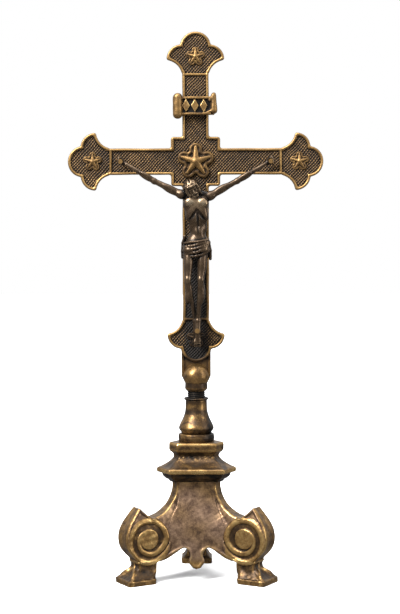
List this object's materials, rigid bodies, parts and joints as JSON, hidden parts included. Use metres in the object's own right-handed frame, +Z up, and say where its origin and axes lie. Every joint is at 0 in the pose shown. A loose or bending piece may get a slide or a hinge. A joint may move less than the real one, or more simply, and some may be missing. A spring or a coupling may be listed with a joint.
{
  "type": "altar cross",
  "caption": "Free-standing altar cross with trefoil ends, a figure, a name scroll, a turned stem and a three-footed scroll base.",
  "frame": {"origin": "on the table plane, under the axis of the stem, thread and ball", "axes": "+Z up along the stem; the front with the figure faces -Y; +X is to the right of someone facing the front"},
  "size_m": [0.1686, 0.0929, 0.36],
  "materials": {
    "antique_brass": "satin, worn bright on raised edges, dark brown in the hollows",
    "patinated_brass": "satin, purplish-brown mottled patina with golden worn edges",
    "dark_bronze": "satin, grey-brown bronze patina with pale rubbed high spots",
    "dark_thread": "matt, near-black oxidised",
    "plain_steel": "dull, oxidised"
  },
  "bodies": {
    "base": {"neck_ring": "antique_brass", "baluster": "antique_brass", "stem_disc": "antique_brass", "plinth_cap": "antique_brass", "pedestal_shell": "patinated_brass", "scroll_leg_front_left": "patinated_brass", "scroll_leg_front_right": "patinated_brass", "scroll_leg_rear": "patinated_brass", "leg_screws": "plain_steel", "tie_rod": "plain_steel", "tie_washer": "plain_steel", "tie_nut": "plain_steel"},
    "thread": {"threaded_stub": "dark_thread"},
    "cross": {"cross_body": "antique_brass", "rosette_centre": "antique_brass", "star_top": "antique_brass", "star_left": "antique_brass", "star_right": "antique_brass", "star_bottom": "antique_brass", "star_rivets": "antique_brass", "titulus_scroll": "antique_brass", "titulus_rivet": "antique_brass", "corpus": "dark_bronze", "hand_nails": "dark_bronze", "foot_nail": "dark_bronze", "ball_socket": "antique_brass"}
  },
  "joints": [
    {"name": "cross_lift", "type": "slide", "parent": "base", "child": "thread", "axis": [0, 0, 1], "range_m": [-0.0038, 0.0088]},
    {"name": "cross_turn", "type": "hinge", "parent": "thread", "child": "cross", "pos_m": [0, 0, 0.12], "axis": [0, 0, 1], "range_deg": [-1080, 2520]}
  ],
  "couplings": [
    {"joint": "cross_lift", "follows": "cross_turn", "m_per_rad": 0.00019894}
  ]
}
